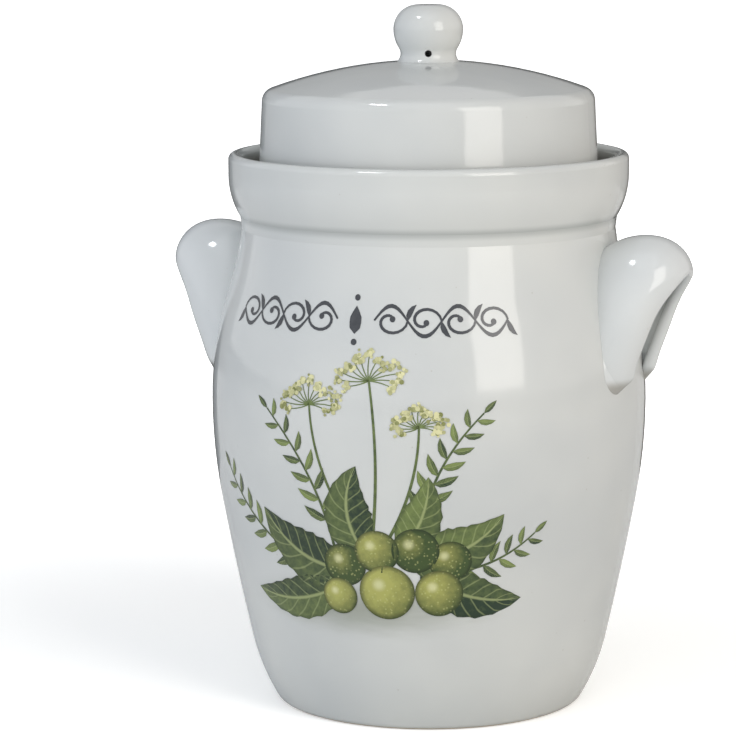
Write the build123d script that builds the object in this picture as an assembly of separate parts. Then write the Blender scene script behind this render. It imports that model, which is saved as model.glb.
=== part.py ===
from build123d import *
import math
import os

# Water seal pickle jar of about five litres, in glazed stoneware.
# Millimetres, +Z up. The origin is the centre of the foot, on the surface that it stands on.
# The handles lie on the X axis and the printed front faces -Y.

# Crock body, outside
foot_radius = 70.6
belly_radius = 100.8
belly_height = 142.0
foot_rounding = 5.0
foot_ring_inner_radius = 58.0
foot_recess = 2.0

# Where one arc of the flank runs into the next, as shares of the height and of the radius lost from
# the belly, downwards to the foot and upwards to the neck
lower_flank_shares = ((0.33, 0.142), (0.789, 0.589))
upper_flank_shares = ((0.642, 0.561),)

# Crock body, inside
wall = 7.0
floor_thickness = 8.0
floor_rounding = 9.0
cavity_top_rounding = 3.0

# Gutter and the collar that holds the water in it: heights hang from the rim, and radii follow the
# collar inwards to the lid and the mouth
rim_height = 256.0
rim_rounding = 2.8
collar_radius = 92.3
collar_wall = 6.2
collar_inner_radius = collar_radius - collar_wall
collar_full_drop = 10.0
collar_full_height = rim_height - collar_full_drop
gutter_depth = 24.0
gutter_floor_height = rim_height - gutter_depth
gutter_rounding = 4.0
gutter_floor_thickness = 5.0
crease_height = gutter_floor_height - gutter_floor_thickness
collar_swell = 5.3
crease_radius = collar_radius - collar_swell
collar_seat_width = 8.1
rebate_radius = collar_inner_radius - collar_seat_width

# Neck under the collar
neck_flare_height = 5.5
neck_height = crease_height - neck_flare_height
neck_flare = 0.7
neck_radius = crease_radius - neck_flare

# Lid bell
lid_seat_gap = 0.3
lid_gutter_room = 7.1
lid_foot_radius = collar_inner_radius - lid_gutter_room
lid_taper = 2.6
lid_shoulder_radius = lid_foot_radius - lid_taper
lid_height = 65.7
lid_dome_drop = 14.1
lid_dome_wall = 6.0
lid_skirt_wall = 5.6
lid_shoulder_rounding = 6.0
lid_inner_rounding = 5.0
lid_foot_rounding = 2.4
gas_notch_radius = 4.5
gas_notch_count = 2

# Mouth ring, which stands in the gutter inside the lid's skirt
mouth_lid_room = 1.8
mouth_ring_radius = lid_foot_radius - lid_skirt_wall - mouth_lid_room
mouth_ring_wall = 6.0
mouth_radius = mouth_ring_radius - mouth_ring_wall
mouth_ring_drop = 5.0
mouth_ring_height = rim_height - mouth_ring_drop
mouth_rim_rounding = 2.6
mouth_foot_rounding = 3.0

# Lid knob, heights from the top of the dome
knob_foot_radius = 14.4
knob_neck_radius = 13.5
knob_neck_height = 5.6
knob_radius = 16.0
knob_widest_height = 14.3
knob_top_radius = 4.8
knob_height = 25.5
knob_wall = 5.5
knob_bore_radius = 6.6
vent_radius = 1.6
vent_height = 3.7
vent_turn = 20.0

# Handles: a hood of clay strap, wide where it is luted to the flank and narrower at its free rim. It
# hangs under the neck, its crown stands past the belly, and its tips end plumb with the belly
handle_lowering = 9.5
handle_root_top = neck_height - handle_lowering
handle_root_drop = 58.5
handle_root_half_width = 28.0
handle_rim_sink = 6.0
handle_rim_top = handle_root_top - handle_rim_sink
handle_rim_drop = 50.0
handle_rim_half_width = 18.5
handle_past_belly = 21.7
handle_crown_reach = belly_radius + handle_past_belly
handle_tip_reach = belly_radius
handle_thickness = 6.0
handle_rise = 10.0
handle_root_flare = 3.5
handle_root_depth = 5.0

# Stations along the hood's arch from its crown to its tip, as shares of each width and drop
handle_root_side_shares = (0, 0.30, 0.55, 0.79, 0.90, 0.86, 0.76, 0.66)
handle_root_drop_shares = (0, 0.05, 0.22, 0.46, 0.70, 0.87, 0.95, 1)
handle_rim_side_shares = (0, 0.42, 0.76, 0.97, 1, 0.97, 0.93, 0.90)
handle_rim_drop_shares = (0, 0.04, 0.18, 0.42, 0.68, 0.87, 0.95, 1)
handle_rim_fall_shares = (0, 0.04, 0.24, 0.54, 0.77, 0.92, 0.97, 1)

# The strap's outward bulge and the flare at its root, as shares at each station
handle_bulge_shares = (1, 0.92, 0.75, 0.51, 0.28, 0.12, 0.04, 0)
handle_flare_shares = (0, 0.30, 0.60, 0.80, 0.70, 0.40, 0.15, 0)

# Control points of the strap's curve from root to rim, as shares of its span and of its rise, with
# the share of the flare that each keeps, and the thickness and span left at the tip
handle_curve_shares = ((0, 0, 1), (0.15, 0.90, 0.3), (0.83, 1.70, 0), (1, 0, 0))
handle_end_shares = (0.45, 0.84)

# Weight stones: two half discs that lie on the floor inside the foot's radius and hold the food under
# the brine
weight_floor_room = 12.6
weight_radius = foot_radius - weight_floor_room
weight_thickness = 14.0
weight_split_gap = 3.0
weight_seat_gap = 0.3
weight_edge_rounding = 3.0
weight_hole_radius = 9.0
weight_hole_rounding = 2.0
weight_hole_offset = 27.0

# How far a cutting tool runs past what it cuts
overrun = 5.0

# How near two lengths are when they count as the same, and how near a search comes along a curve
same_length = 0.05
search_share = 1e-12


def turned(edges, *roundings):
    """Turn a closed outline of radius and height about the jar's axis, with some corners rounded."""
    outline = make_face(Curve() + edges)
    for corner, radius in roundings:
        near = outline.vertices().filter_by(lambda v: (Vector(v) - Vector(*corner)).length < same_length)
        outline = fillet(near, radius)
    return revolve(Plane.XZ * outline, Axis.Z)


def chain(*points):
    """Straight edges from each point to the next."""
    return [Line(start, end) for start, end in zip(points, points[1:])]


def arcs_from_belly(inset, end_radius, end_height, shares):
    """Arcs that leave the belly upright and run into each other, up or down to an end."""
    steps = [*shares, (1, 1)]
    start = Vector(belly_radius - inset, belly_height)
    forward = Vector(0, end_height - belly_height)
    arcs = []
    for height_share, radius_share in steps:
        height = belly_height + height_share * (end_height - belly_height)
        radius = belly_radius - radius_share * (belly_radius - end_radius)
        arc = TangentArc(start, (radius - inset, height), tangent=forward)
        arcs.append(arc)
        start = arc @ 1
        forward = arc % 1
    return arcs


def flank_below(inset):
    """The flank from the belly down to the foot, at the outer face or inside the wall."""
    return arcs_from_belly(inset, foot_radius, 0, lower_flank_shares)


def flank_above(inset):
    """The flank from the belly up to the neck, at the outer face or inside the wall."""
    return arcs_from_belly(inset, neck_radius, neck_height, upper_flank_shares)


def place_on(arc, height):
    """Share of an arc's length at which it reaches a height."""
    rises = (arc @ 1).Y > (arc @ 0).Y
    low, high = 0.0, 1.0
    while high - low > search_share:
        middle = (low + high) / 2
        if ((arc @ middle).Y < height) == rises:
            low = middle
        else:
            high = middle
    return low


def flank_radius(height):
    """Outer radius of the crock at a height."""
    side = flank_below(0) if height < belly_height else flank_above(0)
    arc = min(side, key=lambda each: abs((each @ place_on(each, height)).Y - height))
    return (arc @ place_on(arc, height)).X


def circles_at(shape, radius, height):
    """Round edges of a turned shape that lie at a radius and a height."""
    found = shape.edges().filter_by(GeomType.CIRCLE)
    found = found.filter_by(lambda e: abs(e.radius - radius) < same_length)
    return found.filter_by(lambda e: abs(e.arc_center.Z - height) < same_length)


def crock_blank():
    """The crock's outer form, solid, up to the crease under the collar."""
    edges = flank_below(0) + flank_above(0)
    top = chain((neck_radius, neck_height), (crease_radius, crease_height), (0, crease_height))
    return turned(edges + top + chain((0, crease_height), (0, 0), (foot_radius, 0)))


def crock_body():
    """Foot, wall, neck, gutter floor and mouth ring, thrown as one pot."""
    *sides_in, lowest_in = flank_below(wall)
    lowest_in = lowest_in.trim(0, place_on(lowest_in, floor_thickness))
    floor_edge = (lowest_in @ 1).X, floor_thickness
    neck_in = neck_radius - wall
    cavity_top = neck_height + cavity_top_rounding
    shoulder_end = neck_in - cavity_top_rounding, cavity_top
    shoulder_in = TangentArc((neck_in, neck_height), shoulder_end, tangent=(0, 1))
    gutter_corner = mouth_ring_radius, gutter_floor_height
    rim_out = mouth_ring_radius, mouth_ring_height
    rim_in = mouth_radius, mouth_ring_height
    mouth_foot = mouth_radius, cavity_top
    upper = chain(
        (neck_radius, neck_height),
        (crease_radius, crease_height),
        (rebate_radius, crease_height),
        (rebate_radius, gutter_floor_height),
        gutter_corner,
        rim_out,
        rim_in,
        mouth_foot,
        shoulder_end,
    )
    underside = chain(
        floor_edge,
        (0, floor_thickness),
        (0, foot_recess),
        (foot_ring_inner_radius, foot_recess),
        (foot_ring_inner_radius + foot_recess, 0),
        (foot_radius, 0),
    )
    edges = flank_below(0) + flank_above(0) + upper + [shoulder_in] + flank_above(wall) + sides_in
    return turned(
        edges + [lowest_in] + underside,
        ((foot_radius, 0), foot_rounding),
        (floor_edge, floor_rounding),
        (gutter_corner, mouth_foot_rounding),
        (rim_out, mouth_rim_rounding),
        (rim_in, mouth_rim_rounding),
        (mouth_foot, mouth_foot_rounding),
    )


def water_collar():
    """The upright ring that makes the outer wall of the gutter, with its seat on the shoulder."""
    swell = TangentArc((collar_radius, collar_full_height), (crease_radius, crease_height), tangent=(0, -1))
    edges = chain(
        (collar_radius, collar_full_height),
        (collar_radius, rim_height),
        (collar_inner_radius, rim_height),
        (collar_inner_radius, gutter_floor_height),
        (rebate_radius, gutter_floor_height),
        (rebate_radius, crease_height),
        (crease_radius, crease_height),
    )
    return turned(
        [swell] + edges,
        ((collar_inner_radius, gutter_floor_height), gutter_rounding),
        ((collar_radius, rim_height), rim_rounding),
        ((collar_inner_radius, rim_height), rim_rounding),
    )


def handle_ends(station, side):
    """Middle of the strap at the flank and at its free rim, for one station of the arch."""
    root_side = side * handle_root_side_shares[station] * handle_root_half_width
    root_height = handle_root_top - handle_root_drop_shares[station] * handle_root_drop
    root_reach = math.sqrt(flank_radius(root_height) ** 2 - root_side**2)
    rim_side = side * handle_rim_side_shares[station] * handle_rim_half_width
    free_height = handle_rim_top - handle_rim_drop_shares[station] * handle_rim_drop
    rim_reach = handle_crown_reach - handle_rim_fall_shares[station] * (handle_crown_reach - handle_tip_reach)
    return Vector(root_reach, root_side, root_height), Vector(rim_reach, rim_side, free_height)


def handle_section(station, side):
    """One cross section of the strap, from inside the flank to its rounded free rim."""
    last = len(handle_root_side_shares) - 1
    root, rim = handle_ends(station, side)
    if station == 0:
        along = Vector(0, 1, 0)
    else:
        nearer = sum(handle_ends(station - 1, side), Vector())
        further = sum(handle_ends(min(station + 1, last), side), Vector())
        along = (further - nearer) * side
    across = rim - root
    span = across.length
    plane = Plane(origin=root, x_dir=across, z_dir=along - across * (along.dot(across) / span**2))
    thin_share, short_share = handle_end_shares if station == last else (1, 1)
    half = handle_thickness / 2 * thin_share
    rise = handle_rise * handle_bulge_shares[station]
    flare = handle_root_flare * handle_flare_shares[station]
    middle = [Vector(far * span * short_share, -high * rise) for far, high, _ in handle_curve_shares]
    outer = []
    inner = []
    for number, place in enumerate(middle):
        forward = middle[min(number + 1, len(middle) - 1)] - middle[max(number - 1, 0)]
        keep = handle_curve_shares[number][2]
        aside = Vector(-forward.Y, forward.X).normalized() * (half + keep * flare)
        outer.append(place - aside)
        inner.append(place + aside)
    nose = middle[-1] + (middle[-1] - middle[-2]).normalized() * half
    depth = Vector(handle_root_depth, 0)
    buried = [inner[0] - depth, outer[0] - depth]
    outline = [
        Line(buried[1], outer[0]),
        Bezier(*outer),
        ThreePointArc(outer[-1], nose, inner[-1]),
        Bezier(*reversed(inner)),
        Line(inner[0], buried[0]),
        Line(buried[0], buried[1]),
    ]
    return make_face(plane * (Curve() + outline))


def handle_right():
    """An arched hood of clay strap, open outwards and below for the fingers."""
    stations = range(len(handle_root_side_shares))
    sections = [handle_section(station, -1) for station in reversed(stations)]
    sections += [handle_section(station, 1) for station in stations if station > 0]
    return loft(sections) - crock_blank()


def handle_left():
    """The same hood on the other side."""
    return mirror(handle_right(), Plane.YZ)


def dome_arc(radius, apex, offset):
    """The dome's curve from the axis to a radius, at the outer face or inside its wall."""
    sphere = (lid_shoulder_radius**2 + lid_dome_drop**2) / (2 * lid_dome_drop)
    centre = apex - sphere
    size = sphere - offset
    turn = math.asin(radius / size)
    middle = (size * math.sin(turn / 2), centre + size * math.cos(turn / 2))
    end = (radius, centre + size * math.cos(turn))
    return ThreePointArc((0, centre + size), middle, end)


def lid_apex():
    """Height of the top of the lid's dome."""
    return gutter_floor_height + lid_seat_gap + lid_height


def lid_bell():
    """Dome and skirt of the lid, with gas notches in the skirt's foot."""
    foot = gutter_floor_height + lid_seat_gap
    foot_in = lid_foot_radius - lid_skirt_wall
    outer = dome_arc(lid_shoulder_radius, lid_apex(), 0)
    inner = dome_arc(lid_shoulder_radius - lid_skirt_wall, lid_apex(), lid_dome_wall)
    shoulder_out = (outer @ 1).X, (outer @ 1).Y
    shoulder_in = (inner @ 1).X, (inner @ 1).Y
    bell = turned(
        [outer, inner, Line(inner @ 0, outer @ 0)]
        + chain(shoulder_out, (lid_foot_radius, foot), (foot_in, foot), shoulder_in),
        (shoulder_out, lid_shoulder_rounding),
        (shoulder_in, lid_inner_rounding),
        ((lid_foot_radius, foot), lid_foot_rounding),
        ((foot_in, foot), lid_foot_rounding),
    )
    for number in range(gas_notch_count):
        notch = Pos(0, -lid_foot_radius, foot) * Rot(90, 0, 0) * Cylinder(
            gas_notch_radius, 2 * (lid_skirt_wall + overrun)
        )
        bell -= Rot(0, 0, number * 360 / gas_notch_count) * notch
    return bell


def lid_knob():
    """Hollow knob, open below on the dome, with the firing vent through its neck."""
    apex = lid_apex()
    top = apex + knob_height
    widest = knob_radius, apex + knob_widest_height
    crown = TangentArc(widest, (knob_top_radius, top), tangent=(0, 1))
    ball = TangentArc(widest, (knob_neck_radius, apex + knob_neck_height), tangent=(0, -1))
    seat = dome_arc(knob_foot_radius, apex, 0)
    neck = TangentArc(ball @ 1, seat @ 1, tangent=ball % 1)
    knob = turned([seat, neck, ball, crown] + chain((knob_top_radius, top), (0, top), (0, apex)))
    knob -= Pos(0, 0, apex + knob_widest_height) * Sphere(knob_radius - knob_wall)
    knob -= Pos(0, 0, apex - overrun) * Cylinder(
        knob_bore_radius, knob_widest_height + overrun, align=(Align.CENTER, Align.CENTER, Align.MIN)
    )
    vent = Pos(0, 0, apex + vent_height) * Rot(90, 0, 0) * Cylinder(
        vent_radius, knob_radius + overrun, align=(Align.CENTER, Align.CENTER, Align.MIN)
    )
    return knob - Rot(0, 0, vent_turn) * vent


def weight_right():
    """Half disc of stoneware with a finger hole."""
    seat = floor_thickness + weight_seat_gap
    disc = Cylinder(weight_radius, weight_thickness, align=(Align.CENTER, Align.CENTER, Align.MIN))
    half = disc & Pos(weight_split_gap / 2, 0, 0) * Box(
        weight_radius,
        2 * weight_radius,
        weight_thickness,
        align=(Align.MIN, Align.CENTER, Align.MIN),
    )
    half = fillet(half.edges().filter_by(Axis.Z), weight_edge_rounding)
    half = fillet(half.faces().filter_by(Axis.Z).edges(), weight_edge_rounding)
    half -= Pos(weight_hole_offset, 0, -overrun) * Cylinder(
        weight_hole_radius,
        weight_thickness + 2 * overrun,
        align=(Align.CENTER, Align.CENTER, Align.MIN),
    )
    holes = circles_at(half, weight_hole_radius, 0) + circles_at(half, weight_hole_radius, weight_thickness)
    return Pos(0, 0, seat) * fillet(holes, weight_hole_rounding)


def weight_left():
    """The other half disc."""
    return mirror(weight_right(), Plane.YZ)


nodes = {
    "crock_body": crock_body,
    "water_collar": water_collar,
    "handle_left": handle_left,
    "handle_right": handle_right,
    "lid_bell": lid_bell,
    "lid_knob": lid_knob,
    "weight_left": weight_left,
    "weight_right": weight_right,
}

os.makedirs("parts", exist_ok=True)
for name, make in nodes.items():
    piece = make()
    export_step(piece, f"parts/{name}.step")
    print(name, round(piece.volume), "mm3")
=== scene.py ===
import math
import random

import bmesh
import bpy
from bpy.props import FloatProperty, FloatVectorProperty, PointerProperty
from mathutils import Matrix, Vector
from mathutils.bvhtree import BVHTree


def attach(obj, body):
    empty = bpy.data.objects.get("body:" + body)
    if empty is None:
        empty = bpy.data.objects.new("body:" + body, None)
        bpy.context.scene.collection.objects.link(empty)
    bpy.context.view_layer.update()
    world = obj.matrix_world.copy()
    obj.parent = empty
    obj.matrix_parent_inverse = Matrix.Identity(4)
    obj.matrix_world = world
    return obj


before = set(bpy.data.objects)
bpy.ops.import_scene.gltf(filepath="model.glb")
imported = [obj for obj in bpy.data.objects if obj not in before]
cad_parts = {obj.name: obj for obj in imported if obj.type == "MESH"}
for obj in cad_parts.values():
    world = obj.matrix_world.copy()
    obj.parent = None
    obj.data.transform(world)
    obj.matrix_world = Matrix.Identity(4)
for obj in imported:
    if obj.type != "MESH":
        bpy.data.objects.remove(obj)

bl_info = {
    "name": "Water Seal Pickle Jar",
    "version": (1, 0, 0),
    "blender": (4, 5, 0),
    "location": "3D View > Sidebar > Jar",
    "description": "Glazes, fired print and studio for a stoneware fermentation crock",
    "category": "Object",
}

# Millimetres to metres
MM = 0.001

HANDLES = ("handle_left", "handle_right")
LID_GLAZED = ("lid_bell", "lid_knob")
WEIGHTS = ("weight_left", "weight_right")

# Spacing of each pattern in the glaze, in the bare clay and in the print
GLAZE_DRIFT = 70 * MM
GLAZE_SPECKS = 7 * MM
GLAZE_WAVES = 22 * MM
GLAZE_PORES = 1.5 * MM
CLAY_CLOUDS = 9 * MM
CLAY_GRIT = 2.4 * MM
CLAY_SAND = 0.8 * MM
BRUSH_DAPPLE = 3 * MM
SKIN_DOTS = 1.8 * MM
# Height of each relief
WAVE_RELIEF = 0.12 * MM
PORE_RELIEF = 0.006 * MM
SAND_RELIEF = 0.08 * MM

# Painted light and shade on the glaze: the handles' lighter tone, and the painted shade at the handle
# tips, in the crease and in the gutter; then tones of what shows in the clay
HANDLE_LIGHT_TONE = "#e6ebf0"
HANDLE_TIP_SHADE = "#8b867b"
CREASE_SHADE_GREY = "#8f9492"
GUTTER_SHADE_TONE = "#6f6a61"
IRON_SPECK = "#8d7f6c"
DARK_GRIT = "#7c6c57"
# Tones of the print beside those in its settings
WASH_GREEN = "#7d826d"
LEAF_VEIN = "#a8b27a"
LEAF_EDGE = "#2a3624"
FRUIT_SHADE = "#43542f"
FRUIT_DOT = "#c9cb86"
FRUIT_GLEAM = "#e2e2b4"
FRUIT_EDGE = "#26311f"
PETAL_SHADE = "#6d7434"
PALE_INK = "#5a5d61"

# Heights and radii on the jar that its glaze and its painted shade follow
FOOT_BARE = 0.6 * MM
FOOT_GLAZED = 1.4 * MM
HANDLE_TIP_FROM = 154 * MM
HANDLE_TIP_TO = 159 * MM
CREASE_HEIGHT = 227 * MM
CREASE_REACH = 3.4 * MM
GUTTER_FROM = 70 * MM
GUTTER_TO = 87.5 * MM
GUTTER_FLOOR = 231 * MM
GUTTER_DEEP = 249 * MM
GUTTER_LIP = 255 * MM

# Radius that the print is drawn for, and the size of the soft wash under its leaves
PRINT_RADIUS = 98 * MM
SHADOW_HALF_WIDTH = 74 * MM
SHADOW_HALF_HEIGHT = 15 * MM
SHADOW_LIFT = 3 * MM

# The print is drawn flat in millimetres: across is round the jar from the middle of the front,
# up is height above the print's lowest line, and z is the order in which the shapes lie.
# Side of one cell of its grids, the least half width of a stroke, and its layers from the glaze up
CELL = 2.6
THINNEST = 0.05
STEM_LAYER, LEAF_LAYER, FRUIT_LAYER, BLOOM_LAYER = 0.0, 0.03, 0.12, 0.2
ORDER_STEP = 0.003

# Outline of every leaf: how near its base it is widest, how blunt it is, and its teeth
LEAF_BASE = 0.78
LEAF_BLUNTNESS = 0.85
TOOTH_DEPTH = 0.05
TOOTH_TURN = 44
# Pairs of side veins in a leaf, and how far they lean towards its tip
VEINS = 8.0
VEIN_LEAN = -1.5
# Start, end, half width, bow and tint of each large leaf
LARGE_LEAVES = (
    ((30, 22), (80, 8), 10.5, -5, 0.10),
    ((-6, 16), (-66, 6), 10.0, 6, 0.30),
    ((0, 22), (-50, 46), 12.5, 8, 0.16),
    ((22, 30), (68, 48), 12.0, -8, 0.42),
    ((6, 28), (2, 70), 11.5, 7, 0.24),
    ((20, 30), (34, 66), 9.5, -4, 0.55),
)
# Start, end, bow, number of leaves and leaf length of each sprig
SPRIGS = (
    ((-20, 20), (-77, 60), 6, 13, 13),
    ((-10, 28), (-44, 92), -7, 13, 12),
    ((36, 22), (84, 38), -5, 11, 12),
    ((30, 36), (58, 94), 6, 13, 12),
)
# Share of a sprig's stalk that is bare, how far its leaves stand out from it, their half width as a
# share of their length, their bow, their length at the foot, how they shorten, and their tints
SPRIG_BARE = 0.22
SPRIG_SPREAD = math.radians(48)
SPRIG_SLIMNESS = 0.17
SPRIG_BOW = 0.8
SPRIG_FULL = 1.15
SPRIG_SHORTER = 0.5
SPRIG_TINTS = (0.25, 0.5, 0.75)
# Middle, radius and tint of each fruit, the ones behind first
FRUITS = (
    ((-6, 24), 10.5, 0.20),
    ((44, 27), 10.0, 0.35),
    ((28, 32), 11.0, 0.15),
    ((10, 31), 10.5, 0.65),
    ((-10, 9), 9.0, 0.85),
    ((39, 12), 11.5, 0.70),
    ((14, 12), 13.5, 0.95),
)
# Height of a fruit as a share of its width, the cells across it, and where light falls on its map
FRUIT_SQUASH = 0.94
FRUIT_CELLS = 11
FRUIT_LIGHT = (0.36, 0.64, 0.0)
FRUIT_MIDDLE = (0.5, 0.5, 0.0)
# Foot and head of each flower stalk, its bow and the radius of its head
UMBELS = (
    ((4, 34), (-20, 96), 5, 14),
    ((8, 34), (8, 108), -3, 15),
    ((14, 34), (30, 88), -4, 11),
)
# Half width at the foot, half width at the end, and tint of each kind of stalk
SPRIG_STALK = (0.75, 0.35, 0.3)
FLOWER_STALK = (0.8, 0.5, 0.45)
RAY_STALK = (0.3, 0.2, 0.6)
# A flower head is a fan of rays: their number, where the fan starts and how far it opens, its height
# as a share of its width, the shortest ray as a share of the longest, how they vary, and their bow
RAYS = 13
FAN_FROM = math.radians(-18)
FAN = math.radians(216)
HEAD_SQUASH = 0.8
SHORTEST_RAY = 0.72
RAY_TURN = 2.4
RAY_BOW = 0.6
# Each ray ends in a cluster of spots: their number, cells across, seed, and least and most of each
SPOTS = 9
SPOT_CELLS = 2
SPOT_SEED = 11
SPOT_REACH = (0.2, 2.7)
SPOT_RADIUS = (0.6, 1.25)
SPOT_TINT = (0.1, 1.1)

# Running scroll above the picture: the width and number of its bows on each side, their swing, where
# they start, the line's length, its least half width, how much it swells, and its tint
WAVE = 15.6
WAVES = 4
SWING = 6.4
SCROLL_START = 9.0
SCROLL_LENGTH = WAVE * WAVES * 1.6
SCROLL_THIN = 0.45
SCROLL_SWELL = 0.45
SCROLL_TINT = 0.1
# A curl in each bow: its turn, its height as a share of its width, its length, how it closes, the
# radius that it closes to, its least half width, and how much it swells
CURL_TURN = math.tau * 0.86
CURL_SQUASH = 0.8
CURL_LENGTH = 40
CURL_CLOSING = 0.8
CURL_END = 1.2
CURL_THIN = 0.5
CURL_SWELL = 0.2
# Radius of the dot that ends a curl, and reach and half width of the leaf beside it
CURL_DOT = 1.35
CURL_LEAF_ACROSS = 4.0
CURL_LEAF_UP = 7.0
CURL_LEAF_HALF_WIDTH = 1.35
# The drop between the two sides of the scroll, and the dots above and below it
DROP_HALF_HEIGHT = 6
DROP_HALF_WIDTH = 3.0
DROP_DOT_HEIGHT = 9.5
DROP_DOT = 1.4
# Cells across each dot of the scroll
DOT_CELLS = 4

# Studio, in metres: the floor's radius, how far from the jar its paper starts to whiten and is white,
# the gap under the cards, and where the lamps look
FLOOR_RADIUS = 30.0
PAPER_SHADED = 0.2
PAPER_WHITE = 0.8
CARD_GAP = 5 * MM
JAR_MIDDLE = Vector((0, 0, 0.16))


def linear(hex_colour):
    """Turn an sRGB hex colour into linear red, green and blue."""
    shares = [int(hex_colour[place:place + 2], 16) / 255 for place in (1, 3, 5)]
    return [share / 12.92 if share <= 0.04045 else ((share + 0.055) / 1.055) ** 2.4 for share in shares]


def rgba(colour):
    """A colour with full alpha, as a node's socket takes it."""
    return (*colour, 1.0)


def add(tree, kind, inputs=None, **settings):
    """Add a shader node, and set or link its inputs. A node as a source gives its first live output."""
    node = tree.nodes.new("ShaderNode" + kind)
    for name, value in settings.items():
        setattr(node, name, value)
    for name, value in (inputs or {}).items():
        if isinstance(value, bpy.types.Node):
            value = next(socket for socket in value.outputs if socket.enabled)
        if isinstance(value, bpy.types.NodeSocket):
            tree.links.new(value, node.inputs[name])
        else:
            node.inputs[name].default_value = value
    return node


def new_material(name):
    """An empty node material and its tree."""
    material = bpy.data.materials.new(name)
    material.use_nodes = True
    material.node_tree.nodes.clear()
    return material, material.node_tree


def dress(node_names, material):
    """Give CAD nodes a material."""
    for name in node_names:
        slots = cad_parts[name].data.materials
        slots.clear()
        slots.append(material)


def mesh_object(bm, name, material):
    """Make a bmesh an object in the scene, with one material."""
    mesh = bpy.data.meshes.new(name)
    bm.to_mesh(mesh)
    bm.free()
    mesh.materials.append(material)
    made = bpy.data.objects.new(name, mesh)
    bpy.context.scene.collection.objects.link(made)
    return made


class JarGlazeSettings(bpy.types.PropertyGroup):
    """Colours of the fired glaze and of the bare stoneware."""

    glaze: FloatVectorProperty(
        name="Glaze", description="White of the glaze where it lies thick", subtype="COLOR",
        min=0, max=1, default=linear("#d2d4d1"))
    glaze_shade: FloatVectorProperty(
        name="Glaze shade", description="Greyer tone that the glaze drifts to", subtype="COLOR",
        min=0, max=1, default=linear("#c8cbca"))
    biscuit: FloatVectorProperty(
        name="Biscuit", description="Bare fired clay of the foot ring", subtype="COLOR",
        min=0, max=1, default=linear("#cbbda6"))
    stone: FloatVectorProperty(
        name="Weight clay", description="Buff clay of the weight stones", subtype="COLOR",
        min=0, max=1, default=linear("#c3b49b"))


class JarPrintSettings(bpy.types.PropertyGroup):
    """Colours and place of the print on the front."""

    leaf_dark: FloatVectorProperty(
        name="Dark leaf", description="Shaded leaf green", subtype="COLOR", min=0, max=1,
        default=linear("#2c3d2d"))
    leaf_light: FloatVectorProperty(
        name="Light leaf", description="Sunlit leaf green", subtype="COLOR", min=0, max=1,
        default=linear("#7f8f52"))
    fruit: FloatVectorProperty(
        name="Fruit", description="Yellow green of the round fruits", subtype="COLOR", min=0, max=1,
        default=linear("#aeae62"))
    petal: FloatVectorProperty(
        name="Petal", description="Cream of the blossoms", subtype="COLOR", min=0, max=1,
        default=linear("#dcd9a8"))
    ink: FloatVectorProperty(
        name="Ink", description="Dark grey of the scroll", subtype="COLOR", min=0, max=1,
        default=linear("#383b40"))
    print_height: FloatProperty(
        name="Print height", description="Height of the print's lowest leaves above the foot",
        default=56 * MM, min=0, unit="LENGTH")
    scroll_height: FloatProperty(
        name="Scroll height", description="Height of the scroll's middle above the foot",
        default=190 * MM, min=0, unit="LENGTH")
    film: FloatProperty(
        name="Film", description="How far the print stands on the glaze",
        default=0.14 * MM, min=0, unit="LENGTH")


class JarStageSettings(bpy.types.PropertyGroup):
    """Camera and lamps."""

    camera_turn: FloatProperty(
        name="Camera turn", description="Angle of the camera from the printed front",
        default=math.radians(20), subtype="ANGLE")
    camera_distance: FloatProperty(
        name="Camera distance", description="Distance from the jar's axis", default=1.56, unit="LENGTH")
    camera_height: FloatProperty(
        name="Camera height", description="Height of the camera above the floor", default=0.3965,
        unit="LENGTH")
    camera_dip: FloatProperty(
        name="Camera dip", description="How far the camera looks down", default=math.radians(8.8),
        subtype="ANGLE")
    camera_aim: FloatProperty(
        name="Camera aim", description="How far the camera looks past the jar's left",
        default=math.radians(1.0393), subtype="ANGLE")
    camera_roll: FloatProperty(
        name="Camera roll", description="Turn of the camera about its own axis",
        default=math.radians(0.25), subtype="ANGLE")
    lens: FloatProperty(
        name="Lens", description="Focal length in millimetres on a 36 mm frame", default=165.8, min=1)
    key_power: FloatProperty(
        name="Key", description="Power of the large softbox", default=9.9, min=0)
    bounce_power: FloatProperty(
        name="Bounce", description="Power of the light bounced from the left", default=11.2, min=0)
    front_power: FloatProperty(
        name="Front", description="Power of the low fill light in front", default=4.9, min=0)
    side_power: FloatProperty(
        name="Side", description="Power of the warm light from the right", default=1.5, min=0)
    rear_power: FloatProperty(
        name="Rear", description="Power of the light behind the jar", default=12, min=0)
    high_power: FloatProperty(
        name="High", description="Power of the small high softbox", default=7, min=0)
    top_power: FloatProperty(
        name="Top", description="Power of the overhead softbox", default=1.2, min=0)
    ambient: FloatProperty(
        name="Room light", description="Strength of the even room light", default=0.45, min=0)


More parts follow.
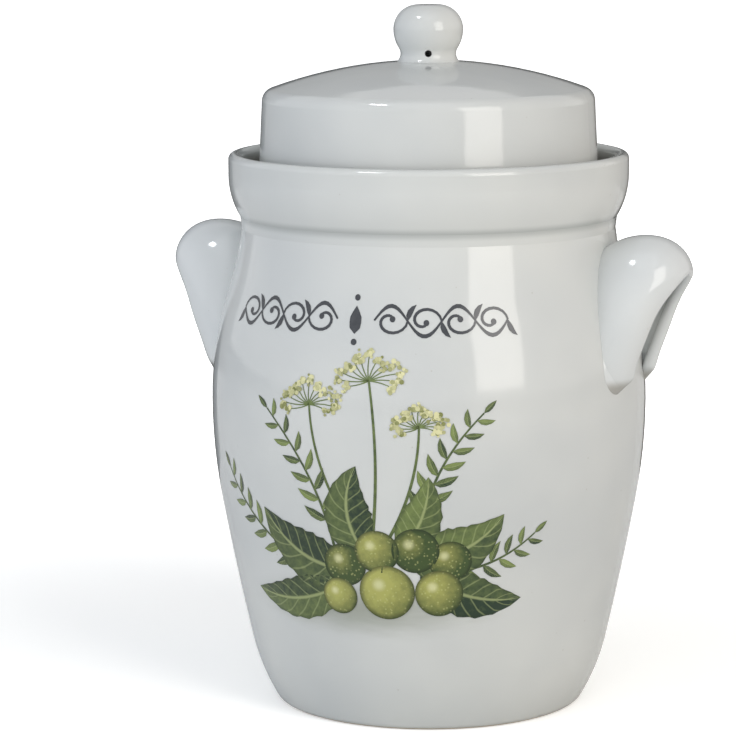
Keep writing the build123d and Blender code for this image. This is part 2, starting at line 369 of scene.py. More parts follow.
def start_glaze(name):
    """Start a white stoneware glaze: opaque, poured on thick and fired to a soft gloss.

    It gives the eye a milky white that drifts a little cooler and warmer, with faint specks.
    """
    colours = bpy.context.scene.jar_glaze
    material, tree = new_material(name)
    place = add(tree, "TexCoord").outputs["Object"]
    # Slow drift of the glaze's tone
    drift = add(tree, "TexNoise", {
        "Vector": place, "Scale": 1 / GLAZE_DRIFT, "Detail": 2.0, "Roughness": 0.5})
    tone = add(tree, "ValToRGB", {"Fac": drift})
    tone.color_ramp.elements[0].position = 0.35
    tone.color_ramp.elements[0].color = rgba(colours.glaze_shade)
    tone.color_ramp.elements[1].position = 0.65
    tone.color_ramp.elements[1].color = rgba(colours.glaze)
    # Iron specks of about half a millimetre that show through in about one cell of seven
    specks = add(tree, "TexVoronoi", {"Vector": place, "Scale": 1 / GLAZE_SPECKS}, feature="F1")
    speck = add(tree, "MapRange", {
        "Value": specks, "From Min": 0.03, "From Max": 0.07, "To Min": 0.25, "To Max": 0.0})
    chance = add(tree, "SeparateColor", {"Color": specks.outputs["Color"]})
    rare = add(tree, "Math", {0: chance.outputs["Red"], 1: 0.86}, operation="GREATER_THAN")
    share = add(tree, "Math", {0: speck, 1: rare}, operation="MULTIPLY")
    colour = add(tree, "Mix", {
        "Factor": share, "A": tone, "B": rgba(linear(IRON_SPECK))}, data_type="RGBA")
    return material, tree, place, drift, colour


def fire_glaze(tree, place, drift, colour, bare=None):
    """Finish a glaze.

    It gives the eye a gloss that varies slowly, a gently wavy surface, so reflections bend,
    and fine pores. Where a share of the clay is bare, that is matte.
    """
    roughness = add(tree, "MapRange", {
        "Value": drift, "From Min": 0.3, "From Max": 0.7, "To Min": 0.07, "To Max": 0.12})
    if bare is not None:
        biscuit = rgba(bpy.context.scene.jar_glaze.biscuit)
        colour = add(tree, "Mix", {"Factor": bare, "A": colour, "B": biscuit}, data_type="RGBA")
        roughness = add(tree, "Mix", {"Factor": bare, "A": roughness, "B": 0.85}, data_type="FLOAT")
    waves = add(tree, "TexNoise", {"Vector": place, "Scale": 1 / GLAZE_WAVES, "Detail": 1.0})
    pores = add(tree, "TexNoise", {"Vector": place, "Scale": 1 / GLAZE_PORES, "Detail": 2.0})
    wavy = add(tree, "Bump", {"Strength": 1.0, "Distance": WAVE_RELIEF, "Height": waves})
    porous = add(tree, "Bump", {
        "Strength": 1.0, "Distance": PORE_RELIEF, "Height": pores, "Normal": wavy})
    shader = add(tree, "BsdfPrincipled", {
        "Base Color": colour, "Roughness": roughness, "IOR": 1.5, "Normal": porous})
    add(tree, "OutputMaterial", {"Surface": shader})


def crease_shade(tree, axes, colour):
    """Painted shade in the crease under the collar: a grey band that stands in for the shade there."""
    # Painted shade: grey, strongest on the crease line and fading out within its reach
    above = add(tree, "Math", {0: axes.outputs["Z"], 1: CREASE_HEIGHT}, operation="SUBTRACT")
    away = add(tree, "Math", {0: above}, operation="ABSOLUTE")
    shade_share = add(tree, "MapRange", {
        "Value": away, "From Min": 0.0, "From Max": CREASE_REACH, "To Min": 0.5, "To Max": 0.0},
        interpolation_type="SMOOTHSTEP")
    return add(tree, "Mix", {
        "Factor": shade_share, "A": colour, "B": rgba(linear(CREASE_SHADE_GREY))}, data_type="RGBA")


def gutter_shade(tree, axes, colour):
    """Painted shade down in the water gutter: a darker tone that stands in for the shade in that recess.
    """
    flat = add(tree, "CombineXYZ", {"X": axes.outputs["X"], "Y": axes.outputs["Y"]})
    radius = add(tree, "VectorMath", {0: flat}, operation="LENGTH").outputs["Value"]
    height = axes.outputs["Z"]
    share = add(tree, "MapRange", {
        "Value": height, "From Min": GUTTER_DEEP, "From Max": GUTTER_LIP, "To Min": 0.75, "To Max": 0.0},
        interpolation_type="SMOOTHSTEP")
    bounds = (
        (radius, GUTTER_FROM, "GREATER_THAN"),
        (radius, GUTTER_TO, "LESS_THAN"),
        (height, GUTTER_FLOOR, "GREATER_THAN"),
    )
    for value, bound, side in bounds:
        inside = add(tree, "Math", {0: value, 1: bound}, operation=side)
        share = add(tree, "Math", {0: share, 1: inside}, operation="MULTIPLY")
    return add(tree, "Mix", {
        "Factor": share, "A": colour, "B": rgba(linear(GUTTER_SHADE_TONE))}, data_type="RGBA")


def print_shadow(tree, axes, colour):
    """The soft grey green wash that the print lays under its leaves."""
    middle = bpy.context.scene.jar_print.print_height + SHADOW_LIFT
    front = add(tree, "Math", {0: axes.outputs["Y"], 1: -1.0}, operation="MULTIPLY")
    angle = add(tree, "Math", {0: axes.outputs["X"], 1: front}, operation="ARCTAN2")
    around = add(tree, "Math", {0: angle, 1: PRINT_RADIUS / SHADOW_HALF_WIDTH}, operation="MULTIPLY")
    rise = add(tree, "Math", {0: axes.outputs["Z"], 1: middle}, operation="SUBTRACT")
    up = add(tree, "Math", {0: rise, 1: SHADOW_HALF_HEIGHT}, operation="DIVIDE")
    spot = add(tree, "CombineXYZ", {"X": around, "Y": up})
    away = add(tree, "VectorMath", {0: spot}, operation="LENGTH").outputs["Value"]
    # Its edge is ragged over about 18 mm across and 4 mm up
    ragged = add(tree, "TexNoise", {"Vector": spot, "Scale": 4.0, "Detail": 4.0})
    edge = add(tree, "Math", {0: ragged, 1: 0.35, 2: away}, operation="MULTIPLY_ADD")
    wash = add(tree, "MapRange", {
        "Value": edge, "From Min": 0.2, "From Max": 1.25, "To Min": 0.62, "To Max": 0.0},
        interpolation_type="SMOOTHSTEP")
    return add(tree, "Mix", {
        "Factor": wash, "A": colour, "B": rgba(linear(WASH_GREEN))}, data_type="RGBA")


def crock_glaze():
    """Glaze of the crock: it carries the print's wash, and is wiped off the foot ring before firing."""
    material, tree, place, drift, colour = start_glaze("white_stoneware_glaze_crock")
    axes = add(tree, "SeparateXYZ", {"Vector": place})
    # Painted shade in the crease under the collar and down in the gutter
    colour = crease_shade(tree, axes, colour)
    colour = gutter_shade(tree, axes, colour)
    colour = print_shadow(tree, axes, colour)
    bare = add(tree, "MapRange", {
        "Value": axes.outputs["Z"], "From Min": FOOT_BARE, "From Max": FOOT_GLAZED,
        "To Min": 1.0, "To Max": 0.0}, interpolation_type="SMOOTHSTEP")
    fire_glaze(tree, place, drift, colour, bare)
    return material


def collar_glaze():
    """Glaze of the collar: painted shade greys the crease at its foot and darkens its gutter side."""
    material, tree, place, drift, colour = start_glaze("white_stoneware_glaze_collar")
    axes = add(tree, "SeparateXYZ", {"Vector": place})
    # Painted shade in the crease and down in the gutter
    colour = crease_shade(tree, axes, colour)
    colour = gutter_shade(tree, axes, colour)
    fire_glaze(tree, place, drift, colour)
    return material


def handle_glaze():
    """Glaze of the handles: painted lighter and cooler to stand in for the light they catch, and
    darkened round their tips by painted shade.
    """
    material, tree, place, drift, colour = start_glaze("white_stoneware_glaze_handles")
    height = add(tree, "SeparateXYZ", {"Vector": place}).outputs["Z"]
    # Painted light: the glaze is mixed lighter and cooler than the crock's
    painted_lighter = add(tree, "Mix", {
        "Factor": 0.25, "A": colour, "B": rgba(linear(HANDLE_LIGHT_TONE))}, data_type="RGBA")
    # Painted shade round the lower tips of the handles
    tip_shade = add(tree, "MapRange", {
        "Value": height, "From Min": HANDLE_TIP_FROM, "From Max": HANDLE_TIP_TO,
        "To Min": 0.7, "To Max": 0.0}, interpolation_type="SMOOTHSTEP")
    colour = add(tree, "Mix", {
        "Factor": tip_shade, "A": painted_lighter, "B": rgba(linear(HANDLE_TIP_SHADE))}, data_type="RGBA")
    fire_glaze(tree, place, drift, colour)
    return material


def lid_glaze():
    """Glaze of the lid and its knob, which lies even all over."""
    material, tree, place, drift, colour = start_glaze("white_stoneware_glaze_lid")
    fire_glaze(tree, place, drift, colour)
    return material


def stone_material():
    """Unglazed buff stoneware: pressed and fired bare, so it is matte, sandy and speckled."""
    clay = bpy.context.scene.jar_glaze.stone
    material, tree = new_material("unglazed_buff_stoneware")
    place = add(tree, "TexCoord").outputs["Object"]
    # Cloudy clay with dark grit
    body = add(tree, "TexNoise", {"Vector": place, "Scale": 1 / CLAY_CLOUDS, "Detail": 4.0})
    tone = add(tree, "ValToRGB", {"Fac": body})
    tone.color_ramp.elements[0].color = rgba([share * 0.86 for share in clay])
    tone.color_ramp.elements[1].color = rgba(clay)
    grit = add(tree, "TexVoronoi", {"Vector": place, "Scale": 1 / CLAY_GRIT}, feature="F1")
    spot = add(tree, "MapRange", {
        "Value": grit, "From Min": 0.10, "From Max": 0.2, "To Min": 0.5, "To Max": 0.0})
    colour = add(tree, "Mix", {
        "Factor": spot, "A": tone, "B": rgba(linear(DARK_GRIT))}, data_type="RGBA")
    sand = add(tree, "TexNoise", {"Vector": place, "Scale": 1 / CLAY_SAND, "Detail": 3.0})
    bump = add(tree, "Bump", {"Strength": 1.0, "Distance": SAND_RELIEF, "Height": sand})
    shader = add(tree, "BsdfPrincipled", {
        "Base Color": colour, "Roughness": 0.82, "IOR": 1.45, "Normal": bump})
    add(tree, "OutputMaterial", {"Surface": shader})
    return material


def line(start, end, bow=0.0):
    """A path from start to end that bows out to its left."""
    start, end = Vector(start), Vector(end)
    ahead = end - start
    middle = (start + end) / 2 + Vector((-ahead.y, ahead.x)).normalized() * bow * 2
    return lambda share: start * (1 - share) ** 2 + middle * 2 * share * (1 - share) + end * share ** 2


def heading(path, share):
    """The unit direction of a path."""
    return (path(share + 0.01) - path(share - 0.01)).normalized()


def start_print():
    """An empty flat print with its map and its tint."""
    bm = bmesh.new()
    bm.loops.layers.uv.new("place")
    bm.verts.layers.float.new("tint")
    return bm


def stroke(bm, path, half_width, length, widest, height, tint):
    """Lay a grid along a path: its columns follow the path, and its rows cross it."""
    along = max(4, math.ceil(length / CELL))
    across = max(2, math.ceil(2 * widest / CELL))
    tints = bm.verts.layers.float["tint"]
    grid = bmesh.ops.create_grid(bm, x_segments=along, y_segments=across, size=1, calc_uvs=True)
    for vert in grid["verts"]:
        share = (vert.co.x + 1) / 2
        ahead = heading(path, share)
        aside = Vector((-ahead.y, ahead.x)) * vert.co.y * max(half_width(share), THINNEST)
        vert.co = (path(share) + aside).to_3d()
        vert.co.z = height
        vert[tints] = tint


def disc(bm, middle, radius, height, tint, cells, squash=1.0):
    """Lay a square grid as a round spot, mapped from side to side."""
    tints = bm.verts.layers.float["tint"]
    places = bm.loops.layers.uv["place"]
    for vert in bmesh.ops.create_grid(bm, x_segments=cells, y_segments=cells, size=1)["verts"]:
        across = vert.co.x * math.sqrt(1 - vert.co.y ** 2 / 2)
        up = vert.co.y * math.sqrt(1 - vert.co.x ** 2 / 2)
        for loop in vert.link_loops:
            loop[places].uv = ((across + 1) / 2, (up + 1) / 2)
        vert.co = Vector((middle[0] + across * radius, middle[1] + up * radius * squash, height))
        vert[tints] = tint


def leaf(bm, start, end, half_width, bow, height, tint):
    """A leaf with a round base, a long tip and a slightly toothed margin."""
    def outline(share):
        body = math.sin(math.pi * min(max(share, 0.0), 1.0) ** LEAF_BASE)
        return half_width * body ** LEAF_BLUNTNESS * (1 + TOOTH_DEPTH * math.sin(share * TOOTH_TURN))

    length = (Vector(end) - Vector(start)).length
    stroke(bm, line(start, end, bow), outline, length, half_width, height, tint)


def stalk(bm, start, end, bow, kind):
    """A stalk that thins towards its end."""
    thick, thin, tint = kind
    length = (Vector(end) - Vector(start)).length
    path = line(start, end, bow)
    stroke(bm, path, lambda share: thick + (thin - thick) * share, length, thick, STEM_LAYER, tint)


def fire_on(bm, name, material):
    """Wrap a flat print round the crock, just off its glaze, and make it a piece of the crock."""
    settings = bpy.context.scene.jar_print
    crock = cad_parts["crock_body"].data
    glaze = BVHTree.FromPolygons(
        [vertex.co for vertex in crock.vertices], [face.vertices for face in crock.polygons])
    for vert in bm.verts:
        turn = vert.co.x * MM / PRINT_RADIUS
        out = Vector((math.sin(turn), -math.cos(turn), 0))
        outside = out + Vector((0, 0, settings.print_height + vert.co.y * MM))
        spot, normal, _, _ = glaze.ray_cast(outside, -out)
        vert.co = spot + normal * (settings.film + vert.co.z * MM)
    for face in bm.faces:
        face.smooth = True
    piece = mesh_object(bm, name, material)
    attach(piece, "crock")


def paint_base(name, dark, light, spread):
    """The start of each print colour: two tones that mix by a shape's tint and a painted dapple."""
    material, tree = new_material(name)
    place = add(tree, "TexCoord").outputs["Object"]
    dapple = add(tree, "TexNoise", {
        "Vector": place, "Scale": 1 / BRUSH_DAPPLE, "Detail": 4.0, "Roughness": 0.6})
    tint = add(tree, "Attribute", attribute_name="tint").outputs["Fac"]
    moved = add(tree, "Math", {0: dapple, 1: spread, 2: -spread / 2}, operation="MULTIPLY_ADD")
    tone = add(tree, "Math", {0: tint, 1: moved}, operation="ADD")
    axes = add(tree, "SeparateXYZ", {"Vector": add(tree, "UVMap", uv_map="place")})
    return material, tree, tone, axes, rgba(dark), rgba(light)


def fire_colour(tree, colour):
    """Finish a print colour: it is fired into the glaze, so it is nearly as glossy."""
    shader = add(tree, "BsdfPrincipled", {"Base Color": colour, "Roughness": 0.18, "IOR": 1.5})
    add(tree, "OutputMaterial", {"Surface": shader})


def leaf_material():
    """Leaf greens of a ceramic transfer: screen printed colour, fired on.

    It gives the eye a dark green with a paler midrib and side veins, one half of each
    leaf in shade, and brush dapple.
    """
    settings = bpy.context.scene.jar_print
    material, tree, tone, axes, dark, light = paint_base(
        "fired_transfer_leaf_green", settings.leaf_dark, settings.leaf_light, 0.9)
    signed = add(tree, "Math", {0: axes.outputs["Y"], 1: 2.0, 2: -1.0}, operation="MULTIPLY_ADD")
    side = add(tree, "Math", {0: signed}, operation="ABSOLUTE")
    shade = add(tree, "MapRange", {
        "Value": signed, "From Min": -0.2, "From Max": 0.2, "To Min": -0.16, "To Max": 0.16})
    lit = add(tree, "Math", {0: tone, 1: shade}, operation="ADD")
    body = add(tree, "Mix", {"Factor": lit, "A": dark, "B": light}, data_type="RGBA")
    # Side veins that lean towards the tip
    lean = add(tree, "Math", {0: side, 1: VEIN_LEAN}, operation="MULTIPLY")
    phase = add(tree, "Math", {0: axes.outputs["X"], 1: VEINS, 2: lean}, operation="MULTIPLY_ADD")
    between = add(tree, "Math", {0: phase, 1: 0.5}, operation="PINGPONG")
    side_vein = add(tree, "MapRange", {
        "Value": between, "From Min": 0.02, "From Max": 0.10, "To Min": 0.42, "To Max": 0.0})
    midrib = add(tree, "MapRange", {
        "Value": side, "From Min": 0.03, "From Max": 0.10, "To Min": 0.7, "To Max": 0.0})
    vein = add(tree, "Math", {0: side_vein, 1: midrib}, operation="MAXIMUM")
    veined = add(tree, "Mix", {
        "Factor": vein, "A": body, "B": rgba(linear(LEAF_VEIN))}, data_type="RGBA")
    # Dark edge that sets one leaf off from the next
    rim = add(tree, "MapRange", {
        "Value": side, "From Min": 0.8, "From Max": 1.0, "To Min": 0.0, "To Max": 0.55})
    edged = add(tree, "Mix", {
        "Factor": rim, "A": veined, "B": rgba(linear(LEAF_EDGE))}, data_type="RGBA")
    fire_colour(tree, edged)
    return material


def fruit_material():
    """Fruit greens of a ceramic transfer: a round spot shaded like a ball.

    It gives the eye a yellow green light side, a dark green shadow side and rim, pale
    dots on the skin and a soft gleam.
    """
    settings = bpy.context.scene.jar_print
    material, tree, tone, axes, dark, light = paint_base(
        "fired_transfer_fruit_green", linear(FRUIT_SHADE), settings.fruit, 0.7)
    spot = add(tree, "CombineXYZ", {"X": axes.outputs["X"], "Y": axes.outputs["Y"]})
    away = add(tree, "VectorMath", {0: spot, 1: FRUIT_LIGHT}, operation="DISTANCE").outputs["Value"]
    lit = add(tree, "MapRange", {
        "Value": away, "From Min": 0.05, "From Max": 0.72, "To Min": 0.35, "To Max": -0.75})
    share = add(tree, "Math", {0: tone, 1: lit}, operation="ADD")
    body = add(tree, "Mix", {"Factor": share, "A": dark, "B": light}, data_type="RGBA")
    # Pale dots of the skin
    place = add(tree, "TexCoord").outputs["Object"]
    dots = add(tree, "TexVoronoi", {"Vector": place, "Scale": 1 / SKIN_DOTS}, feature="F1")
    dotted = add(tree, "MapRange", {
        "Value": dots, "From Min": 0.15, "From Max": 0.3, "To Min": 0.4, "To Max": 0.0})
    skin = add(tree, "Mix", {
        "Factor": dotted, "A": body, "B": rgba(linear(FRUIT_DOT))}, data_type="RGBA")
    gleam = add(tree, "MapRange", {
        "Value": away, "From Min": 0.02, "From Max": 0.16, "To Min": 0.6, "To Max": 0.0},
        interpolation_type="SMOOTHSTEP")
    shone = add(tree, "Mix", {
        "Factor": gleam, "A": skin, "B": rgba(linear(FRUIT_GLEAM))}, data_type="RGBA")
    centre = add(tree, "VectorMath", {0: spot, 1: FRUIT_MIDDLE}, operation="DISTANCE").outputs["Value"]
    rim = add(tree, "MapRange", {
        "Value": centre, "From Min": 0.40, "From Max": 0.5, "To Min": 0.0, "To Max": 0.75})
    fire_colour(tree, add(tree, "Mix", {
        "Factor": rim, "A": shone, "B": rgba(linear(FRUIT_EDGE))}, data_type="RGBA"))
    return material


def plain_print_material(name, dark, light, spread):
    """A ceramic transfer in two tones that a shape's tint and the brush dapple mix."""
    material, tree, tone, _, dark, light = paint_base(name, dark, light, spread)
    fire_colour(tree, add(tree, "Mix", {"Factor": tone, "A": dark, "B": light}, data_type="RGBA"))
    return material


def stalk_material():
    """Stalk greens of a ceramic transfer: fine lines that pale and darken along their length."""
    settings = bpy.context.scene.jar_print
    return plain_print_material(
        "fired_transfer_stalk_green", settings.leaf_dark, settings.leaf_light, 1.1)


def blossom_material():
    """Blossom creams of a ceramic transfer: small spots from cream to olive."""
    petal = bpy.context.scene.jar_print.petal
    return plain_print_material("fired_transfer_blossom_cream", linear(PETAL_SHADE), petal, 0.5)


def ink_material():
    """Dark grey line of a ceramic transfer: solid, with a faint grain from the screen."""
    ink = bpy.context.scene.jar_print.ink
    return plain_print_material("fired_transfer_dark_grey", ink, linear(PALE_INK), 0.8)


def head_tips(middle, radius):
    """Where the rays of a flower head end: a fan of rays with uneven lengths."""
    tips = []
    for ray in range(RAYS):
        angle = FAN_FROM + FAN * ray / (RAYS - 1)
        reach = radius * (SHORTEST_RAY + (1 - SHORTEST_RAY) * math.sin(ray * RAY_TURN) ** 2)
        tips.append((
            middle[0] + math.cos(angle) * reach, middle[1] + math.sin(angle) * reach * HEAD_SQUASH))
    return tips


class JAR_OT_print_stalks(bpy.types.Operator):
    """Print the stalks of the sprigs and of the flower heads"""

    bl_idname = "jar.print_stalks"
    bl_label = "Print the stalks"

    def execute(self, context):
        bm = start_print()
        for start, end, bow, _, _ in SPRIGS:
            stalk(bm, start, end, bow, SPRIG_STALK)
        for start, end, bow, radius in UMBELS:
            stalk(bm, start, end, bow, FLOWER_STALK)
            for tip in head_tips(end, radius):
                stalk(bm, end, tip, RAY_BOW, RAY_STALK)
        fire_on(bm, "print_stalks", stalk_material())
        return {"FINISHED"}


class JAR_OT_print_leaves(bpy.types.Operator):
    """Print the large leaves and the leaves of the sprigs"""

    bl_idname = "jar.print_leaves"
    bl_label = "Print the leaves"

    def execute(self, context):
        bm = start_print()
        height = LEAF_LAYER
        for start, end, bow, count, long in SPRIGS:
            path = line(start, end, bow)
            for number in range(count):
                share = SPRIG_BARE + (1 - SPRIG_BARE) * number / (count - 1)
                side = 0 if number == count - 1 else (1, -1)[number % 2]
                ahead = heading(path, share)
                ahead.rotate(Matrix.Rotation(SPRIG_SPREAD * side, 2))
                size = long * (SPRIG_FULL - SPRIG_SHORTER * share)
                root = path(share)
                tip = root + ahead * size
                tint = SPRIG_TINTS[number % len(SPRIG_TINTS)]
                height += ORDER_STEP / 4
                leaf(bm, root, tip, size * SPRIG_SLIMNESS, SPRIG_BOW * side, height, tint)
        for start, end, half_width, bow, tint in LARGE_LEAVES:
            height += ORDER_STEP
            leaf(bm, start, end, half_width, bow, height, tint)
        fire_on(bm, "print_leaves", leaf_material())
        return {"FINISHED"}


class JAR_OT_print_fruits(bpy.types.Operator):
    """Print the round fruits"""

    bl_idname = "jar.print_fruits"
    bl_label = "Print the fruits"

    def execute(self, context):
        bm = start_print()
        for number, (middle, radius, tint) in enumerate(FRUITS):
            height = FRUIT_LAYER + number * ORDER_STEP
            disc(bm, middle, radius, height, tint, FRUIT_CELLS, FRUIT_SQUASH)
        fire_on(bm, "print_fruits", fruit_material())
        return {"FINISHED"}


class JAR_OT_print_blossoms(bpy.types.Operator):
    """Print the blossoms of the flower heads"""

    bl_idname = "jar.print_blossoms"
    bl_label = "Print the blossoms"

    def execute(self, context):
        bm = start_print()
        chance = random.Random(SPOT_SEED)
        for _, middle, _, radius in UMBELS:
            for tip in head_tips(middle, radius):
                for number in range(SPOTS):
                    angle = chance.uniform(0, math.tau)
                    reach = chance.uniform(*SPOT_REACH)
                    spot = (tip[0] + math.cos(angle) * reach, tip[1] + math.sin(angle) * reach)
                    size = chance.uniform(*SPOT_RADIUS)
                    height = BLOOM_LAYER + number * ORDER_STEP
                    disc(bm, spot, size, height, chance.uniform(*SPOT_TINT), SPOT_CELLS)
        fire_on(bm, "print_blossoms", blossom_material())
        return {"FINISHED"}


class JAR_OT_print_scroll(bpy.types.Operator):
    """Print the running scroll above the picture"""

    bl_idname = "jar.print_scroll"
    bl_label = "Print the scroll"

    def execute(self, context):
        settings = context.scene.jar_print
        middle = (settings.scroll_height - settings.print_height) / MM
        low, high = middle - DROP_HALF_HEIGHT, middle + DROP_HALF_HEIGHT
        bm = start_print()
        for side in (1, -1):
            self.half(bm, side, middle)
        leaf(bm, (0, low), (0, high), DROP_HALF_WIDTH, 0, STEM_LAYER, SCROLL_TINT)
        for up in (-DROP_DOT_HEIGHT, DROP_DOT_HEIGHT):
            disc(bm, (0, middle + up), DROP_DOT, STEM_LAYER, SCROLL_TINT, DOT_CELLS)
        fire_on(bm, "print_scroll", ink_material())
        return {"FINISHED"}

    def half(self, bm, side, middle):
        """One side of the scroll: a wave, a curl inside each of its bows, and leaves between them."""
        def wave(share):
            across = SCROLL_START + WAVE * WAVES * share
            return Vector((side * across, middle + SWING * math.sin(math.pi * WAVES * share)))

        def swell(share):
            return SCROLL_THIN + SCROLL_SWELL * math.sin(math.pi * WAVES * share) ** 2

        def curl_swell(share):
            return CURL_THIN + CURL_SWELL * math.sin(share * math.pi)

        stroke(bm, wave, swell, SCROLL_LENGTH, SCROLL_THIN + SCROLL_SWELL, STEM_LAYER, SCROLL_TINT)
        for number in range(WAVES):
            lean = (1, -1)[number % 2]
            across = SCROLL_START + WAVE * (number + 0.5)

            def curl(share, lean=lean, across=across):
                angle = -lean * share * CURL_TURN
                reach = WAVE / 2 * max(1 - share, 0) ** CURL_CLOSING + CURL_END * share
                up = math.sin(angle) * reach * CURL_SQUASH
                return Vector((side * (across + math.cos(angle) * reach), middle + up))

            stroke(bm, curl, curl_swell, CURL_LENGTH, CURL_THIN + CURL_SWELL,
                   STEM_LAYER + ORDER_STEP, SCROLL_TINT)
            disc(bm, curl(1), CURL_DOT, STEM_LAYER + 2 * ORDER_STEP, SCROLL_TINT, DOT_CELLS)
            root = Vector((side * (across + WAVE / 2), middle))
            tip = root + Vector((side * CURL_LEAF_ACROSS, lean * CURL_LEAF_UP))
            leaf(bm, root, tip, CURL_LEAF_HALF_WIDTH, side * lean,
                 STEM_LAYER + 3 * ORDER_STEP, SCROLL_TINT)


class JAR_OT_glaze_crock(bpy.types.Operator):
    """Glaze the crock, its collar and its handles"""

    bl_idname = "jar.glaze_crock"
    bl_label = "Glaze the crock"

    def execute(self, context):
        dress(("crock_body",), crock_glaze())
        dress(("water_collar",), collar_glaze())
        dress(HANDLES, handle_glaze())
        return {"FINISHED"}


class JAR_OT_glaze_lid(bpy.types.Operator):
    """Glaze the lid and its knob"""

    bl_idname = "jar.glaze_lid"
    bl_label = "Glaze the lid"

    def execute(self, context):
        dress(LID_GLAZED, lid_glaze())
        return {"FINISHED"}


class JAR_OT_fire_weights(bpy.types.Operator):
    """Give the weight stones their bare clay"""

    bl_idname = "jar.fire_weights"
    bl_label = "Fire the weight stones"

    def execute(self, context):
        dress(WEIGHTS, stone_material())
        return {"FINISHED"}


def around_jar(turn, distance, height):
    """A point at an angle from the printed front, out from the axis and up from the floor."""
    return Vector((distance * math.sin(turn), -distance * math.cos(turn), height))


def aimed(origin, target):
    """Place an area lamp or card so that its face looks at a point."""
    return Matrix.Translation(origin) @ (target - origin).to_track_quat("-Z", "Y").to_matrix().to_4x4()


def softbox(name, degrees, distance, height, size, power, colour):
    """A rectangular studio lamp that looks at the middle of the jar."""
    lamp = bpy.data.lights.new(name, "AREA")
    lamp.shape = "RECTANGLE"
    lamp.size, lamp.size_y = size
    lamp.energy = power
    lamp.color = linear(colour)
    lamp_object = bpy.data.objects.new(name, lamp)
    lamp_object.matrix_world = aimed(around_jar(math.radians(degrees), distance, height), JAR_MIDDLE)
    bpy.context.scene.collection.objects.link(lamp_object)
    return lamp_object


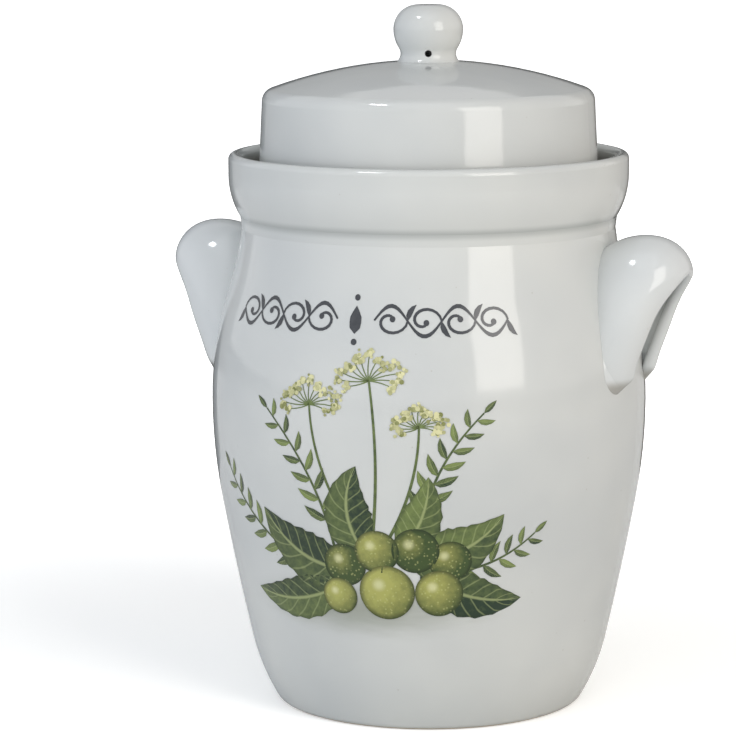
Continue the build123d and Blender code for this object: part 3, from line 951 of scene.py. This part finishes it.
class JAR_OT_set_stage(bpy.types.Operator):
    """Set up the floor, the cards, the lamps and the camera"""

    bl_idname = "jar.set_stage"
    bl_label = "Set the stage"

    def execute(self, context):
        settings = context.scene.jar_stage
        self.floor()
        self.world(settings)
        self.lamps(settings)
        self.card("black_card", settings, 5, 0.46, (0.58, 0.34), 0.01)
        self.card("grey_card", settings, 0, 1.2, (2.6, 1.15), 0.34)
        self.camera(context, settings)
        context.scene.view_settings.view_transform = "Standard"
        return {"FINISHED"}

    def lamps(self, settings):
        """Softboxes that gloss shows, and broad fill lights that it doesn't."""
        # Turn in degrees, distance, height, width and length, power and colour of each
        softbox("key_softbox", 57, 1.5, 0.745, (0.76, 1.1), settings.key_power, "#fffaf3")
        # A small high lamp that only gloss sees puts the sparkles on the shoulder and the rim
        high = softbox("high_softbox", -30, 0.9, 1.7, (0.25, 0.2), settings.high_power, "#f8faff")
        high.visible_diffuse = False
        softbox("top_softbox", 20, 0.5, 1.4, (0.9, 0.9), settings.top_power, "#f8faff")
        fills = (
            softbox("bounced_light", -45, 1.7, 0.45, (1.4, 1.4), settings.bounce_power, "#e6eeff"),
            softbox("rear_light", 200, 1.7, 0.7, (0.9, 0.9), settings.rear_power, "#ffffff"),
            softbox("front_fill_light", 12, 1.7, 0.3, (1.2, 0.6), settings.front_power, "#ffffff"),
            softbox("warm_side_light", 100, 1.6, 0.5, (0.9, 0.9), settings.side_power, "#ffbf70"),
        )
        for lamp in fills:
            lamp.visible_glossy = False

    def floor(self):
        """A wide pale floor that fills the view behind the jar."""
        material, tree = new_material("white_studio_paper")
        paths = add(tree, "LightPath")
        diffuse = add(tree, "BsdfDiffuse", {"Color": rgba(linear("#e8e8e6")), "Roughness": 1.0})
        # The paper is pure white to the camera away from the jar, and keeps its shadow near it
        place = add(tree, "TexCoord").outputs["Object"]
        away = add(tree, "VectorMath", {0: place}, operation="LENGTH").outputs["Value"]
        white = add(tree, "MapRange", {
            "Value": away, "From Min": PAPER_SHADED, "From Max": PAPER_WHITE,
            "To Min": 0.35, "To Max": 0.95}, interpolation_type="SMOOTHSTEP")
        glow = add(tree, "Emission", {"Color": (1, 1, 1, 1), "Strength": white})
        both = add(tree, "AddShader", {0: diffuse, 1: glow})
        seen = add(tree, "MixShader", {0: paths.outputs["Is Camera Ray"], 1: diffuse, 2: both})
        add(tree, "OutputMaterial", {"Surface": seen})
        bm = bmesh.new()
        bmesh.ops.create_circle(bm, cap_ends=True, segments=64, radius=FLOOR_RADIUS)
        floor = mesh_object(bm, "studio_floor", material)

    def card(self, name, settings, degrees, distance, size, glow):
        """An upright card behind the jar, which only gloss sees: it draws the darker outlines."""
        width, tall = size
        turn = settings.camera_turn + math.pi + math.radians(degrees)
        middle = around_jar(turn, distance, tall / 2 + CARD_GAP)
        bm = bmesh.new()
        bmesh.ops.create_grid(bm, x_segments=1, y_segments=1, size=0.5)
        bmesh.ops.scale(bm, vec=(width, tall, 1), verts=bm.verts)
        bmesh.ops.transform(bm, matrix=aimed(middle, Vector((0, 0, middle.z))), verts=bm.verts)
        material, tree = new_material(name + "_paper")
        paper = add(tree, "Emission", {"Color": (1, 1, 1, 1), "Strength": glow})
        add(tree, "OutputMaterial", {"Surface": paper})
        card = mesh_object(bm, name, material)
        card.visible_camera = False
        card.visible_diffuse = False
        card.visible_shadow = False

    def world(self, settings):
        """Even room light, with a white background for the camera and for gloss."""
        world = bpy.data.worlds.new("studio_room")
        bpy.context.scene.world = world
        world.use_nodes = True
        tree = world.node_tree
        tree.nodes.clear()
        paths = add(tree, "LightPath")
        room = add(tree, "Background", {
            "Color": rgba(linear("#f3f6fa")), "Strength": settings.ambient})
        white = add(tree, "Background", {"Color": (1, 1, 1, 1), "Strength": 1.0})
        seen = paths.outputs["Is Camera Ray"]
        for kind in ("Is Glossy Ray", "Is Transmission Ray"):
            seen = add(tree, "Math", {0: seen, 1: paths.outputs[kind]}, operation="MAXIMUM")
        mixed = add(tree, "MixShader", {0: seen, 1: room, 2: white})
        add(tree, "OutputWorld", {"Surface": mixed})

    def camera(self, context, settings):
        """The camera at the photograph's place, aim and lens."""
        back = Vector((math.sin(settings.camera_turn), -math.cos(settings.camera_turn), 0))
        right = Vector((math.cos(settings.camera_turn), math.sin(settings.camera_turn), 0))
        level = -back * math.cos(settings.camera_aim) - right * math.sin(settings.camera_aim)
        side = right * math.cos(settings.camera_aim) - back * math.sin(settings.camera_aim)
        ahead = level * math.cos(settings.camera_dip) - Vector((0, 0, 1)) * math.sin(settings.camera_dip)
        up = side.cross(ahead)
        roll = settings.camera_roll
        turned_side = side * math.cos(roll) - up * math.sin(roll)
        turned_up = up * math.cos(roll) + side * math.sin(roll)
        place = back * settings.camera_distance + Vector((0, 0, settings.camera_height))
        data = bpy.data.cameras.new("photo_camera")
        data.sensor_width = 36
        data.sensor_fit = "HORIZONTAL"
        data.lens = settings.lens
        camera = bpy.data.objects.new("photo_camera", data)
        turn = Matrix((turned_side, turned_up, -ahead)).transposed()
        camera.matrix_world = Matrix.Translation(place) @ turn.to_4x4()
        context.scene.collection.objects.link(camera)
        context.scene.camera = camera


class JAR_PT_panel(bpy.types.Panel):
    """Steps that dress the jar"""

    bl_idname = "JAR_PT_panel"
    bl_label = "Pickle jar"
    bl_space_type = "VIEW_3D"
    bl_region_type = "UI"
    bl_category = "Jar"

    def draw(self, context):
        for group in (context.scene.jar_glaze, context.scene.jar_print, context.scene.jar_stage):
            for name in group.__annotations__:
                self.layout.prop(group, name)
        for step in STEPS:
            self.layout.operator(step.bl_idname)


STEPS = (
    JAR_OT_glaze_crock, JAR_OT_glaze_lid, JAR_OT_fire_weights, JAR_OT_print_stalks, JAR_OT_print_leaves,
    JAR_OT_print_fruits, JAR_OT_print_blossoms, JAR_OT_print_scroll, JAR_OT_set_stage)
CLASSES = (JarGlazeSettings, JarPrintSettings, JarStageSettings, *STEPS, JAR_PT_panel)


def register():
    for each in CLASSES:
        bpy.utils.register_class(each)
    bpy.types.Scene.jar_glaze = PointerProperty(type=JarGlazeSettings)
    bpy.types.Scene.jar_print = PointerProperty(type=JarPrintSettings)
    bpy.types.Scene.jar_stage = PointerProperty(type=JarStageSettings)


def unregister():
    del bpy.types.Scene.jar_stage
    del bpy.types.Scene.jar_print
    del bpy.types.Scene.jar_glaze
    for each in reversed(CLASSES):
        bpy.utils.unregister_class(each)


def main():
    """Dress the jar step by step."""
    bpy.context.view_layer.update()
    register()
    bpy.ops.jar.glaze_crock()
    bpy.ops.jar.glaze_lid()
    bpy.ops.jar.fire_weights()
    bpy.ops.jar.print_stalks()
    bpy.ops.jar.print_leaves()
    bpy.ops.jar.print_fruits()
    bpy.ops.jar.print_blossoms()
    bpy.ops.jar.print_scroll()
    bpy.ops.jar.set_stage()


if __name__ == "__main__":
    main()
